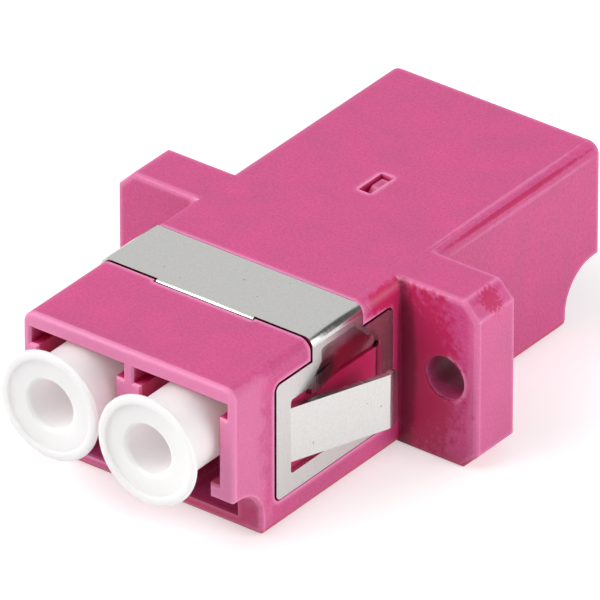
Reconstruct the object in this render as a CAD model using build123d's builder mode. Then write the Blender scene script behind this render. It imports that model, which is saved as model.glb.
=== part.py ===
from build123d import *
from math import radians, sqrt, tan
import os

# Flanged duplex fibre optic adapter: a moulded housing with two square ports at each end, a
# sleeve holder pushed in from the rear, two split alignment sleeves, a folded panel spring
# clip and a dust cap in each front port.
# Sizes are in millimetres. The origin is midway between the two flange holes, on the front
# face of the flange. +X is across the ports, +Y runs to the rear and +Z is up.

# Housing block
BODY_WIDTH = 12.8
BODY_HEIGHT = 9.4
FRONT_LENGTH = 13.4
REAR_LENGTH = 16.3
BODY_EDGE_RADIUS = 0.65
END_EDGE_RADIUS = 0.2

# Flange
FLANGE_WIDTH = 22.0
FLANGE_THICKNESS = 3.05
FLANGE_CHAMFER = 0.9
FLANGE_EDGE_RADIUS = 0.2
HOLE_DIAMETER = 2.4
HOLE_SPACING = 18.0

# Finger notches across the lower edge of each end, with bevelled lips
NOTCH_HEIGHT = 3.05
NOTCH_EDGE_CHAMFER = 0.12
NOTCH_LIP_CHAMFER = 0.45
FRONT_NOTCH_DEPTH = 2.25
FRONT_NOTCH_RADIUS = 1.8
REAR_NOTCH_DEPTH = 2.7
REAR_NOTCH_RADIUS = 2.2

# Ports: a square opening, a wider band under the roof at the mouth, a latch keyway below
PORT_PITCH = 6.25
PORT_SIZE = 4.7
ROOF_THICKNESS = 0.85
MOUTH_BEVEL = 0.12
BAND_WIDTH = 5.65
BAND_HEIGHT = 0.85
BAND_DEPTH = 3.1
KEYWAY_WIDTH = 3.6
FLOOR_THICKNESS = 0.85
LATCH_POCKET_START = 3.6
LATCH_POCKET_LENGTH = 3.0
LATCH_POCKET_HEIGHT = 1.3
BULKHEAD_THICKNESS = 1.45

# Split sleeves and the tubes that hold them
SLEEVE_LENGTH = 6.8
SLEEVE_OUTER = 1.62
SLEEVE_INNER = 1.25
SLEEVE_SLIT = 0.3
SLEEVE_CLEARANCE = 0.04
SLEEVE_END_PLAY = 0.1
HOLDER_WALL = 0.45
HOLDER_LIP_THICKNESS = 0.4
HOLDER_LIP_BORE = 1.4

# Sleeve holder pushed in from the rear, with its snap tab in the roof window
HOLDER_PLATE_THICKNESS = 1.5
HOLDER_FIT = 0.05
HOLDER_SEAT_GAP = 0.02
DIVIDER_SETBACK = 0.3
WINDOW_WIDTH = 0.75
WINDOW_LENGTH = 1.9
WINDOW_START = 5.5
SNAP_TAB_CLEARANCE = 0.08
SNAP_TAB_RECESS = 0.2
SNAP_ARM_THICKNESS = 0.5
SNAP_ARM_LENGTH = 3.4
SNAP_ARM_GAP = 0.4

# Spring clip, folded from one strip
CLIP_THICKNESS = 0.3
CLIP_PROUD = 0.05
CLIP_BEND_RADIUS = 0.5
CLIP_SEAT_GAP = 0.02
CLIP_SIDE_CLEARANCE = 0.1
STRAP_SETBACK = 2.87
STRAP_WIDTH = 4.0
PLATE_START = 0.8
PLATE_LENGTH = 9.27
PLATE_TOP_DROP = 1.3
PLATE_BOTTOM_RISE = 1.68
PLATE_CORNER_RADIUS = 0.35
LIP_WIDTH = 5.9
LIP_REACH = 0.2
LIP_DROP = 0.55

# Panel tongue cut out of each clip side, and the cut-out round it
TONGUE_FRONT_BAR = 1.14
TONGUE_TOP_DROP = 1.75
TONGUE_BOTTOM_RISE = 1.69
TONGUE_ANGLE = 20.0
TONGUE_RUN = 5.35
TONGUE_TIP_LENGTH = 0.85
TONGUE_TIP_RADIUS = 0.5
CUTOUT_TOP_DROP = 0.85
CUTOUT_BOTTOM_GAP = 0.67
CUTOUT_REAR_BAR = 0.88
CUTOUT_SLIT = 0.45
CUTOUT_SHOULDER_SETBACK = 2.43
CUTOUT_SLOPE = 1.0
CUTOUT_NECK_SETBACK = 0.65
CUTOUT_RADIUS = 0.35

# Inward keeper tab of the clip, placed behind the tongue's root, and the housing window
# that the tab dips into
KEEPER_ROOT_SETBACK = 1.63
KEEPER_BEND_SETBACK = 2.38
KEEPER_TIP_SETBACK = 5.68
KEEPER_INSET = 0.62
KEEPER_HEIGHT = 0.88
KEEPER_OVERLAP = 0.48
KEEPER_TIP_RADIUS = 0.35
SIDE_WINDOW_FRONT_GAP = 0.1
SIDE_WINDOW_REAR_GAP = 1.85
SIDE_WINDOW_HEIGHT = 1.96
SIDE_WINDOW_BOTTOM_GAP = 0.13

# Dust caps
CAP_DISC_DIAMETER = 5.9
CAP_DISC_THICKNESS = 0.35
CAP_FLARE_LENGTH = 0.35
CAP_RIM_WIDTH = 0.5
CAP_FACE_RECESS = 0.15
CAP_WALL = 0.8
CAP_BORE_DEPTH = 7.5
CAP_PORT_CLEARANCE = 0.225
CAP_SHORTFALL = 0.8
CAP_TUBE_CLEARANCE = 0.3
CAP_REAR_BORE_DEPTH = 3.6
CAP_EDGE_RADIUS = 0.15
LEFT_CAP_STANDOFF = 2.25
RIGHT_CAP_STANDOFF = 2.65

# How near to a place an edge must lie to be picked by it
PICK_MARGIN = 0.01

# Places worked out from the sizes above
body_top = BODY_HEIGHT / 2
body_bottom = -BODY_HEIGHT / 2
body_side = BODY_WIDTH / 2
port_x = PORT_PITCH / 2
port_top = body_top - ROOF_THICKNESS
port_bottom = port_top - PORT_SIZE
port_centre_z = port_top - PORT_SIZE / 2
band_z = port_top - BAND_HEIGHT / 2
floor_top = body_bottom + FLOOR_THICKNESS
keyway_height = port_bottom - floor_top
middle_y = (REAR_LENGTH - FRONT_LENGTH) / 2
front_bulkhead_y = middle_y - BULKHEAD_THICKNESS
sleeve_bore = SLEEVE_OUTER + 2 * SLEEVE_CLEARANCE
sleeve_reach = SLEEVE_LENGTH / 2 + SLEEVE_END_PLAY
holder_reach = sleeve_reach + HOLDER_LIP_THICKNESS
holder_outer = sleeve_bore + 2 * HOLDER_WALL
clip_outer = body_side + CLIP_PROUD
clip_inner = clip_outer - CLIP_THICKNESS
clip_top = body_top + CLIP_PROUD
clip_under = clip_top - CLIP_THICKNESS
seat_side = clip_inner - CLIP_SEAT_GAP
seat_top = clip_under - CLIP_SEAT_GAP
plate_top = clip_top - PLATE_TOP_DROP
plate_bottom = body_bottom + PLATE_BOTTOM_RISE
plate_front = PLATE_START + PLATE_LENGTH
strap_front = plate_front - STRAP_SETBACK
strap_rear = strap_front - STRAP_WIDTH
tongue_root = plate_front - TONGUE_FRONT_BAR
tongue_top = plate_top - TONGUE_TOP_DROP
tongue_bottom = plate_bottom + TONGUE_BOTTOM_RISE
cutout_top = clip_top - CUTOUT_TOP_DROP
cutout_bottom = tongue_bottom - CUTOUT_BOTTOM_GAP
cutout_rear = PLATE_START + CUTOUT_REAR_BAR
slit_top = tongue_top + CUTOUT_SLIT
cutout_shoulder = tongue_root - CUTOUT_SHOULDER_SETBACK
keeper_root = tongue_root - KEEPER_ROOT_SETBACK
keeper_bend = tongue_root - KEEPER_BEND_SETBACK
keeper_tip = tongue_root - KEEPER_TIP_SETBACK
keeper_bottom = slit_top - KEEPER_OVERLAP
side_window_bottom = keeper_bottom - SIDE_WINDOW_BOTTOM_GAP
side_window_front = keeper_bend + SIDE_WINDOW_FRONT_GAP
side_window_rear = keeper_tip - SIDE_WINDOW_REAR_GAP
sides = (-1, 1)


def section(y):
    """The upright plane across the adapter at y; it extrudes towards the front."""
    return Plane.XZ.offset(-y)


def port_squares(size=PORT_SIZE):
    with Locations((-port_x, port_centre_z), (port_x, port_centre_z)):
        Rectangle(size, size)


def keyways(width=KEYWAY_WIDTH, height=keyway_height):
    """Slots that reach down from the squares, which they overlap by a half of their height."""
    with Locations((-port_x, port_bottom), (port_x, port_bottom)):
        Rectangle(width, 2 * height)


def mouth_bands(growth=0):
    with Locations((-port_x, band_z), (port_x, band_z)):
        Rectangle(BAND_WIDTH + growth, BAND_HEIGHT + growth)


def sleeve_circles(radius):
    with Locations((-port_x, port_centre_z), (port_x, port_centre_z)):
        Circle(radius)


def plate_outline(clearance):
    """A clip side as seen from the side, grown by a clearance."""
    length = PLATE_LENGTH + 2 * clearance
    height = plate_top - plate_bottom + 2 * clearance
    with Locations((-PLATE_START - PLATE_LENGTH / 2, (plate_top + plate_bottom) / 2)):
        RectangleRounded(length, height, PLATE_CORNER_RADIUS + clearance)


with BuildPart() as housing:
    # Flange with its corners cut off and softened edges
    with BuildSketch(section(FLANGE_THICKNESS)) as flange_face:
        Rectangle(FLANGE_WIDTH, BODY_HEIGHT)
        chamfer(flange_face.vertices(), FLANGE_CHAMFER)
    extrude(amount=FLANGE_THICKNESS)
    fillet(housing.faces().filter_by(Axis.Y).edges(), FLANGE_EDGE_RADIUS)

    # Body block through the flange
    with BuildSketch(section(REAR_LENGTH)):
        RectangleRounded(BODY_WIDTH, BODY_HEIGHT, BODY_EDGE_RADIUS)
    extrude(amount=REAR_LENGTH + FRONT_LENGTH)
    end_faces = housing.faces().filter_by(Axis.Y).sort_by(Axis.Y)
    fillet(end_faces[0].edges() + end_faces[-1].edges(), END_EDGE_RADIUS)

    # Finger notches at the lower edge of each end
    with BuildSketch(Plane.YZ):
        with Locations((-FRONT_LENGTH, body_bottom)):
            RectangleRounded(2 * FRONT_NOTCH_DEPTH, 2 * NOTCH_HEIGHT, FRONT_NOTCH_RADIUS)
        with Locations((REAR_LENGTH, body_bottom)):
            RectangleRounded(2 * REAR_NOTCH_DEPTH, 2 * NOTCH_HEIGHT, REAR_NOTCH_RADIUS)
        with Locations(
            (FRONT_NOTCH_DEPTH - FRONT_LENGTH, body_bottom),
            (REAR_LENGTH - REAR_NOTCH_DEPTH, body_bottom),
        ):
            Rectangle(NOTCH_LIP_CHAMFER * sqrt(2), NOTCH_LIP_CHAMFER * sqrt(2), rotation=45)
    extrude(amount=BODY_WIDTH, both=True, mode=Mode.SUBTRACT)
    notch_arcs = housing.edges().filter_by(GeomType.CIRCLE)
    for notch_radius in (FRONT_NOTCH_RADIUS, REAR_NOTCH_RADIUS):
        chamfer(
            notch_arcs.filter_by(lambda arc: abs(arc.radius - notch_radius) < PICK_MARGIN),
            NOTCH_EDGE_CHAMFER,
        )

    # Front ports, as deep as the bulkhead
    with BuildSketch(section(front_bulkhead_y)):
        port_squares()
        keyways()
    extrude(amount=FRONT_LENGTH + front_bulkhead_y, mode=Mode.SUBTRACT)
    with BuildSketch(section(BAND_DEPTH - FRONT_LENGTH)):
        mouth_bands()
    extrude(amount=BAND_DEPTH, mode=Mode.SUBTRACT)

    # Rear opening: both ports and the space between them, where the sleeve holder goes
    with BuildSketch(section(REAR_LENGTH)):
        with Locations((0, port_centre_z)):
            Rectangle(PORT_PITCH + PORT_SIZE, PORT_SIZE)
        keyways()
    extrude(amount=REAR_LENGTH - middle_y, mode=Mode.SUBTRACT)
    with BuildSketch(section(REAR_LENGTH)):
        with Locations((0, band_z)):
            Rectangle(PORT_PITCH + BAND_WIDTH, BAND_HEIGHT)
    extrude(amount=BAND_DEPTH, mode=Mode.SUBTRACT)

    # Pockets beside the keyways, where the plugs' latches catch
    pocket_starts = (
        LATCH_POCKET_START + LATCH_POCKET_LENGTH - FRONT_LENGTH,
        REAR_LENGTH - LATCH_POCKET_START,
    )
    for pocket_y in pocket_starts:
        with BuildSketch(section(pocket_y)):
            keyways(PORT_SIZE, LATCH_POCKET_HEIGHT)
        extrude(amount=LATCH_POCKET_LENGTH, mode=Mode.SUBTRACT)

    # Front halves of the tubes that hold the sleeves
    with BuildSketch(section(front_bulkhead_y)):
        sleeve_circles(holder_outer / 2)
    extrude(amount=holder_reach - BULKHEAD_THICKNESS)
    with BuildSketch(section(middle_y)):
        sleeve_circles(sleeve_bore / 2)
    extrude(amount=sleeve_reach, mode=Mode.SUBTRACT)
    with BuildSketch(section(middle_y)):
        sleeve_circles(HOLDER_LIP_BORE / 2)
    extrude(amount=holder_reach, mode=Mode.SUBTRACT)

    # Roof window for the snap tab
    with BuildSketch(Plane.XY.offset(body_top)):
        with Locations((0, WINDOW_START + WINDOW_LENGTH / 2)):
            Rectangle(WINDOW_WIDTH, WINDOW_LENGTH)
    extrude(amount=-(body_top - port_top), mode=Mode.SUBTRACT)

    # Channel for the strap over the roof, then the seats of the clip sides
    with BuildSketch(section(-strap_rear + CLIP_SIDE_CLEARANCE)):
        with Locations((0, plate_top)):
            Rectangle(2 * BODY_WIDTH, BODY_HEIGHT)
        with BuildLine():
            FilletPolyline(
                (-seat_side, 0), (-seat_side, seat_top), (seat_side, seat_top), (seat_side, 0),
                radius=CLIP_BEND_RADIUS / 2,
            )
            Line((seat_side, 0), (seat_side, -BODY_HEIGHT))
            Line((seat_side, -BODY_HEIGHT), (-seat_side, -BODY_HEIGHT))
            Line((-seat_side, -BODY_HEIGHT), (-seat_side, 0))
        make_face(mode=Mode.SUBTRACT)
    extrude(amount=STRAP_WIDTH + 2 * CLIP_SIDE_CLEARANCE, mode=Mode.SUBTRACT)
    for side in sides:
        with BuildSketch(Plane.YZ.offset(side * seat_side)):
            plate_outline(CLIP_SIDE_CLEARANCE)
        extrude(amount=side * BODY_WIDTH, mode=Mode.SUBTRACT)

    # Slot for the bent lip at the strap's front edge
    with BuildSketch(Plane.XY.offset(body_top)):
        with Locations((0, -strap_front)):
            Rectangle(LIP_WIDTH + 2 * CLIP_SIDE_CLEARANCE, 2 * (LIP_REACH + CLIP_SIDE_CLEARANCE))
    extrude(amount=-(CLIP_THICKNESS + LIP_DROP / 2), mode=Mode.SUBTRACT)

    # Side windows through to the front ports, for the keeper tabs
    for side in sides:
        with BuildSketch(Plane.YZ.offset(side * port_x)):
            with Locations((
                -(side_window_front + side_window_rear) / 2,
                side_window_bottom + SIDE_WINDOW_HEIGHT / 2,
            )):
                Rectangle(side_window_front - side_window_rear, SIDE_WINDOW_HEIGHT)
        extrude(amount=side * BODY_WIDTH / 2, mode=Mode.SUBTRACT)

    # Screw holes
    with BuildSketch(section(FLANGE_THICKNESS)):
        with Locations((-HOLE_SPACING / 2, 0), (HOLE_SPACING / 2, 0)):
            Circle(HOLE_DIAMETER / 2)
    extrude(amount=FLANGE_THICKNESS, mode=Mode.SUBTRACT)

    # Lead-in bevels round the port mouths
    front_end = Plane(origin=(0, -FRONT_LENGTH, 0), x_dir=(-1, 0, 0), z_dir=(0, 1, 0))
    with BuildSketch(front_end):
        port_squares(PORT_SIZE + 2 * MOUTH_BEVEL)
        keyways(KEYWAY_WIDTH + 2 * MOUTH_BEVEL)
        mouth_bands(2 * MOUTH_BEVEL)
    extrude(amount=MOUTH_BEVEL, taper=45, mode=Mode.SUBTRACT)
    with BuildSketch(section(REAR_LENGTH)):
        with Locations((0, port_centre_z)):
            Rectangle(PORT_PITCH + PORT_SIZE + 2 * MOUTH_BEVEL, PORT_SIZE + 2 * MOUTH_BEVEL)
        keyways(KEYWAY_WIDTH + 2 * MOUTH_BEVEL)
        with Locations((0, band_z)):
            Rectangle(PORT_PITCH + BAND_WIDTH + 2 * MOUTH_BEVEL, BAND_HEIGHT + 2 * MOUTH_BEVEL)
    extrude(amount=MOUTH_BEVEL, taper=45, mode=Mode.SUBTRACT)


# Sleeve holder: a plate against the bulkhead, the rear tubes, and the wall between the ports
holder_width = PORT_PITCH + PORT_SIZE - 2 * HOLDER_FIT
holder_height = PORT_SIZE - 2 * HOLDER_FIT
plate_front_y = middle_y + HOLDER_SEAT_GAP
plate_rear_y = plate_front_y + HOLDER_PLATE_THICKNESS
divider_width = PORT_PITCH - PORT_SIZE
divider_rear_y = REAR_LENGTH - DIVIDER_SETBACK
divider_top = port_top - HOLDER_FIT
divider_band_z = divider_top - BAND_HEIGHT / 2
snap_rear_y = WINDOW_START + WINDOW_LENGTH - SNAP_TAB_CLEARANCE
snap_front_y = WINDOW_START + SNAP_TAB_CLEARANCE
snap_width = WINDOW_WIDTH - 2 * SNAP_TAB_CLEARANCE
snap_peak = body_top - SNAP_TAB_RECESS
arm_underside = divider_top - SNAP_ARM_THICKNESS
arm_rear_y = snap_rear_y + SNAP_ARM_GAP

with BuildPart() as sleeve_holder:
    with BuildSketch(section(plate_rear_y)):
        with Locations((0, port_centre_z)):
            Rectangle(holder_width, holder_height)
    extrude(amount=HOLDER_PLATE_THICKNESS)

    # Dividing wall, narrower under the roof at the mouth
    with BuildSketch(section(divider_rear_y)):
        with Locations((0, port_centre_z)):
            Rectangle(divider_width, holder_height)
    extrude(amount=divider_rear_y - plate_rear_y)
    with BuildSketch(section(divider_rear_y)):
        with Locations((-port_x, divider_band_z), (port_x, divider_band_z)):
            Rectangle(BAND_WIDTH, BAND_HEIGHT)
    extrude(amount=BAND_DEPTH - DIVIDER_SETBACK, mode=Mode.SUBTRACT)

    # Springy arm cut free of the wall's top, with the snap tab on it
    with BuildSketch(Plane.YZ):
        with Locations((arm_rear_y - SNAP_ARM_LENGTH / 2, arm_underside - SNAP_ARM_GAP / 2)):
            Rectangle(SNAP_ARM_LENGTH, SNAP_ARM_GAP)
        with Locations((arm_rear_y - SNAP_ARM_GAP / 2, arm_underside + SNAP_ARM_THICKNESS / 2)):
            Rectangle(SNAP_ARM_GAP, SNAP_ARM_THICKNESS + SNAP_ARM_GAP)
    extrude(amount=divider_width, both=True, mode=Mode.SUBTRACT)
    with BuildSketch(Plane.YZ):
        with BuildLine():
            Polyline(
                (snap_front_y, arm_underside),
                (snap_front_y, divider_top + SNAP_TAB_CLEARANCE),
                ((snap_front_y + snap_rear_y) / 2, snap_peak),
                (snap_rear_y, snap_peak),
                (snap_rear_y, arm_underside),
                close=True,
            )
        make_face()
    extrude(amount=snap_width / 2, both=True)
    fillet(sleeve_holder.faces().sort_by(Axis.Z)[-1].edges().filter_by(Axis.X), SNAP_TAB_CLEARANCE)

    # Rear halves of the sleeve tubes
    with BuildSketch(section(middle_y + holder_reach)):
        sleeve_circles(holder_outer / 2)
    extrude(amount=holder_reach - HOLDER_PLATE_THICKNESS)
    with BuildSketch(section(middle_y + holder_reach)):
        sleeve_circles(HOLDER_LIP_BORE / 2)
    extrude(amount=holder_reach, mode=Mode.SUBTRACT)
    with BuildSketch(section(middle_y + sleeve_reach)):
        sleeve_circles(sleeve_bore / 2)
    extrude(amount=sleeve_reach, mode=Mode.SUBTRACT)


def make_sleeve(side):
    """A ceramic tube with one slit along it, lying in the tubes of one port pair."""
    with BuildPart() as sleeve:
        with BuildSketch(section(middle_y + SLEEVE_LENGTH / 2)):
            with Locations((side * port_x, port_centre_z)):
                Circle(SLEEVE_OUTER / 2)
                Circle(SLEEVE_INNER / 2, mode=Mode.SUBTRACT)
            with Locations((side * port_x, port_centre_z + SLEEVE_OUTER / 2)):
                Rectangle(SLEEVE_SLIT, SLEEVE_OUTER, mode=Mode.SUBTRACT)
        extrude(amount=SLEEVE_LENGTH)
    return sleeve


tongue_rise = TONGUE_RUN * tan(radians(TONGUE_ANGLE))
tongue_middle = clip_outer - CLIP_THICKNESS / 2

with BuildPart() as spring_clip:
    # Strap over the roof with a leg down each side
    with BuildSketch(section(-strap_rear)) as strap_section:
        with Locations((0, (clip_top + plate_bottom) / 2)):
            Rectangle(2 * clip_outer, clip_top - plate_bottom)
        fillet(strap_section.vertices().group_by(Axis.Z)[-1], CLIP_BEND_RADIUS)
        with BuildLine():
            inner_radius = CLIP_BEND_RADIUS - CLIP_THICKNESS
            FilletPolyline(
                (-clip_inner, plate_top), (-clip_inner, clip_under),
                (clip_inner, clip_under), (clip_inner, plate_top),
                radius=inner_radius,
            )
            Line((clip_inner, plate_top), (clip_inner, 2 * plate_bottom))
            Line((clip_inner, 2 * plate_bottom), (-clip_inner, 2 * plate_bottom))
            Line((-clip_inner, 2 * plate_bottom), (-clip_inner, plate_top))
        make_face(mode=Mode.SUBTRACT)
    extrude(amount=STRAP_WIDTH)

    # Lip bent down at the middle of the strap's front edge
    with BuildSketch(Plane.YZ):
        with BuildLine():
            lip_front = -strap_front - LIP_REACH
            FilletPolyline(
                (lip_front + CLIP_THICKNESS, clip_top),
                (lip_front, clip_top),
                (lip_front, clip_top - LIP_DROP),
                radius=LIP_REACH,
            )
            Polyline(
                (lip_front, clip_top - LIP_DROP),
                (lip_front + LIP_REACH, clip_top - LIP_DROP),
                (lip_front + LIP_REACH, clip_under),
                (lip_front + CLIP_THICKNESS, clip_under),
                (lip_front + CLIP_THICKNESS, clip_top),
            )
        make_face()
    extrude(amount=LIP_WIDTH / 2, both=True)

    for side in sides:
        # Side plate, then the opening that its tongue is cut from
        with BuildSketch(Plane.YZ.offset(side * clip_inner)):
            plate_outline(0)
        extrude(amount=side * CLIP_THICKNESS)
        with BuildSketch(Plane.YZ.offset(side * port_x)) as cutout:
            with BuildLine():
                Polyline(
                    (-tongue_root, slit_top),
                    (-cutout_shoulder - CUTOUT_SLOPE, slit_top),
                    (-cutout_shoulder, slit_top + CUTOUT_SLOPE),
                    (-cutout_shoulder, cutout_top),
                    (-strap_rear - CUTOUT_NECK_SETBACK, cutout_top),
                    (-strap_rear - CUTOUT_NECK_SETBACK + CUTOUT_SLOPE, cutout_top - CUTOUT_SLOPE),
                    (-cutout_rear - CUTOUT_RADIUS, slit_top + CUTOUT_RADIUS),
                    (-cutout_rear, slit_top - CUTOUT_RADIUS),
                    (-cutout_rear, cutout_bottom),
                    (-tongue_root, cutout_bottom),
                    close=True,
                )
            make_face()
            fillet(cutout.vertices(), CUTOUT_RADIUS / 2)
        extrude(amount=side * BODY_WIDTH, mode=Mode.SUBTRACT)

        # Panel tongue, bent outwards towards the flange and level again at its tip
        root_y = -tongue_root - 2 * CLIP_THICKNESS
        bend_y = -tongue_root + TONGUE_RUN
        with BuildSketch(Plane.XY.offset(tongue_bottom)):
            with BuildLine() as tongue_path:
                FilletPolyline(
                    (side * tongue_middle, root_y),
                    (side * tongue_middle, -tongue_root),
                    (side * (tongue_middle + tongue_rise), bend_y),
                    (side * (tongue_middle + tongue_rise), bend_y + TONGUE_TIP_LENGTH),
                    radius=CLIP_THICKNESS,
                )
            trace(line_width=CLIP_THICKNESS)
        extrude(amount=tongue_top - tongue_bottom)
        tip_corners = spring_clip.edges(Select.LAST).filter_by(Axis.X).sort_by(Axis.Y)[-2:]
        fillet(tip_corners, TONGUE_TIP_RADIUS)

        # Keeper tab, bent inwards through the housing's side window
        with BuildSketch(Plane.XY.offset(keeper_bottom)):
            with BuildLine() as keeper_path:
                FilletPolyline(
                    (side * tongue_middle, -keeper_root),
                    (side * tongue_middle, -keeper_bend),
                    (side * (tongue_middle - KEEPER_INSET), -keeper_tip),
                    radius=CLIP_THICKNESS,
                )
            trace(line_width=CLIP_THICKNESS)
        extrude(amount=KEEPER_HEIGHT)
        keeper_edges = spring_clip.edges(Select.LAST).filter_by(Axis.Z, reverse=True)
        fillet(keeper_edges.sort_by(Axis.Y)[-2:], KEEPER_TIP_RADIUS)


def make_dust_cap(side, standoff):
    """A turned plug: a rimmed disc in front of the port and a hollow stem inside it."""
    front_y = -FRONT_LENGTH - standoff
    disc_radius = CAP_DISC_DIAMETER / 2
    stem_radius = PORT_SIZE / 2 - CAP_PORT_CLEARANCE
    rim_inner = disc_radius - CAP_RIM_WIDTH
    bore_radius = stem_radius - CAP_WALL
    rear_bore_radius = holder_outer / 2 + CAP_TUBE_CLEARANCE
    cap_length = FRONT_LENGTH + front_bulkhead_y - CAP_SHORTFALL
    end_chamfer = min(CAP_EDGE_RADIUS, (stem_radius - rear_bore_radius) / 2)
    profile_plane = Plane(
        origin=(side * port_x, front_y, port_centre_z), x_dir=(1, 0, 0), z_dir=(0, 0, 1)
    )
    with BuildPart() as cap:
        with BuildSketch(profile_plane) as profile:
            with BuildLine():
                Polyline(
                    (0, CAP_BORE_DEPTH),
                    (bore_radius, CAP_BORE_DEPTH),
                    (bore_radius, CAP_FACE_RECESS),
                    (rim_inner, CAP_FACE_RECESS),
                    (rim_inner, 0),
                    (disc_radius, 0),
                    (disc_radius, CAP_DISC_THICKNESS),
                    (stem_radius, CAP_DISC_THICKNESS + CAP_FLARE_LENGTH),
                    (stem_radius, cap_length),
                    (rear_bore_radius, cap_length),
                    (rear_bore_radius, cap_length - CAP_REAR_BORE_DEPTH),
                    (0, cap_length - CAP_REAR_BORE_DEPTH),
                    close=True,
                )
            make_face()
            # The profile's own axes: x is the radius, y runs into the port
            fillet(profile.vertices().sort_by_distance((disc_radius, 0))[0], CAP_EDGE_RADIUS)
            chamfer(
                profile.vertices().sort_by_distance((bore_radius, CAP_FACE_RECESS))[0],
                CAP_EDGE_RADIUS,
            )
            chamfer(profile.vertices().sort_by_distance((stem_radius, cap_length))[0], end_chamfer)
        revolve(axis=Axis((side * port_x, 0, port_centre_z), (0, 1, 0)))
    return cap


nodes = {
    "housing": housing,
    "sleeve_holder": sleeve_holder,
    "sleeve_left": make_sleeve(-1),
    "sleeve_right": make_sleeve(1),
    "spring_clip": spring_clip,
    "dust_cap_left": make_dust_cap(-1, LEFT_CAP_STANDOFF),
    "dust_cap_right": make_dust_cap(1, RIGHT_CAP_STANDOFF),
}

os.makedirs("parts", exist_ok=True)
for name, node in nodes.items():
    node.part.label = name
    export_step(node.part, f"parts/{name}.step")
    print(name, round(node.part.volume, 2), len(node.part.solids()))
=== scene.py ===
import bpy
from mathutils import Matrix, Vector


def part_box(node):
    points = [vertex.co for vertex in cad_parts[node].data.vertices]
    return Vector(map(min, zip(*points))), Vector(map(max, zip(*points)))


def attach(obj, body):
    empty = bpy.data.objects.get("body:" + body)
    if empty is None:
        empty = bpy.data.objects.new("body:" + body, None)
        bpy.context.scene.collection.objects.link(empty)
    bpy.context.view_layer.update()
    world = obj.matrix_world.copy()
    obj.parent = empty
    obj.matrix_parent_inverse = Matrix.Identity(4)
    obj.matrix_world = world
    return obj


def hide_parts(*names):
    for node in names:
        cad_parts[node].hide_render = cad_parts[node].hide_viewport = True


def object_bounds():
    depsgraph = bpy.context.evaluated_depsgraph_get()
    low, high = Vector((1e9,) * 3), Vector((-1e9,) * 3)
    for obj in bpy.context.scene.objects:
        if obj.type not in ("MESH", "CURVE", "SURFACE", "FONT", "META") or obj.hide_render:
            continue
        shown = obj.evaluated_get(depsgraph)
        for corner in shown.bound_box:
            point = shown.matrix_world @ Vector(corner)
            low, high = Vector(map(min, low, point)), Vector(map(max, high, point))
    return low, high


bl_info = {
    "name": "Fibre Optic Adapter",
    "version": (1, 0, 0),
    "blender": (4, 5, 0),
    "location": "3D View > Sidebar > Adapter",
    "description": "Dresses a duplex fibre optic adapter: housing, spring clip, sleeves and dust caps",
    "category": "Object",
}

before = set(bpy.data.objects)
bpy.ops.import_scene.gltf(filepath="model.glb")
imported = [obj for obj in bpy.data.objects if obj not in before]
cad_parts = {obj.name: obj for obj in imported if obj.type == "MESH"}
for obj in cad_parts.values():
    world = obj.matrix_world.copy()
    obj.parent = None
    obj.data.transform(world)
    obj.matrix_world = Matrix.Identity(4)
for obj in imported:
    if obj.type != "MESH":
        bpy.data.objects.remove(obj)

import math

import bpy
from bpy.props import FloatProperty, FloatVectorProperty, IntProperty, PointerProperty
from bpy.types import Operator, Panel, PropertyGroup
from mathutils import Matrix, Vector

MM = 0.001
CAD_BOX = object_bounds()


# Sizes and colours

class ADAPTER_PG_housing(PropertyGroup):
    plastic_colour: FloatVectorProperty(
        name="Plastic colour", description="Colour of the moulding with its faint chalky bloom",
        subtype="COLOR", size=3, min=0.0, max=1.0, default=(0.605, 0.066, 0.235))
    # The deep colour is painted shade in corners and patches, and a painted dark reflection along the rear
    # top edge
    deep_shade_colour: FloatVectorProperty(
        name="Deep colour", description="Colour in corners and patches where the bloom is rubbed off",
        subtype="COLOR", size=3, min=0.0, max=1.0, default=(0.500, 0.005, 0.085))
    # The light edge colour is a painted highlight along the moulding's edges
    edge_highlight_colour: FloatVectorProperty(
        name="Light edge colour", description="Colour where the moulding's thin edges let light through",
        subtype="COLOR", size=3, min=0.0, max=1.0, default=(0.84, 0.30, 0.53))
    shade_colour: FloatVectorProperty(
        name="Shade colour", description="Colour of the shade beside the flange and in its screw hole",
        subtype="COLOR", size=3, min=0.0, max=1.0, default=(0.12, 0.002, 0.022))
    roughness: FloatProperty(
        name="Roughness", description="How matt the moulded surface is", min=0.0, max=1.0, default=0.46)
    edge_softness: FloatProperty(
        name="Edge softness", description="Width of the rounding on moulded edges",
        subtype="DISTANCE", unit="LENGTH", min=0.0, default=0.07 * MM)
    holder_softness: FloatProperty(
        name="Holder softness", description="Width of the rounding on the sleeve holder's edges",
        subtype="DISTANCE", unit="LENGTH", min=0.0, default=0.042 * MM)
    grain_depth: FloatProperty(
        name="Grain depth", description="Height of the fine moulded grain",
        subtype="DISTANCE", unit="LENGTH", min=0.0, default=0.008 * MM)


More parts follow.
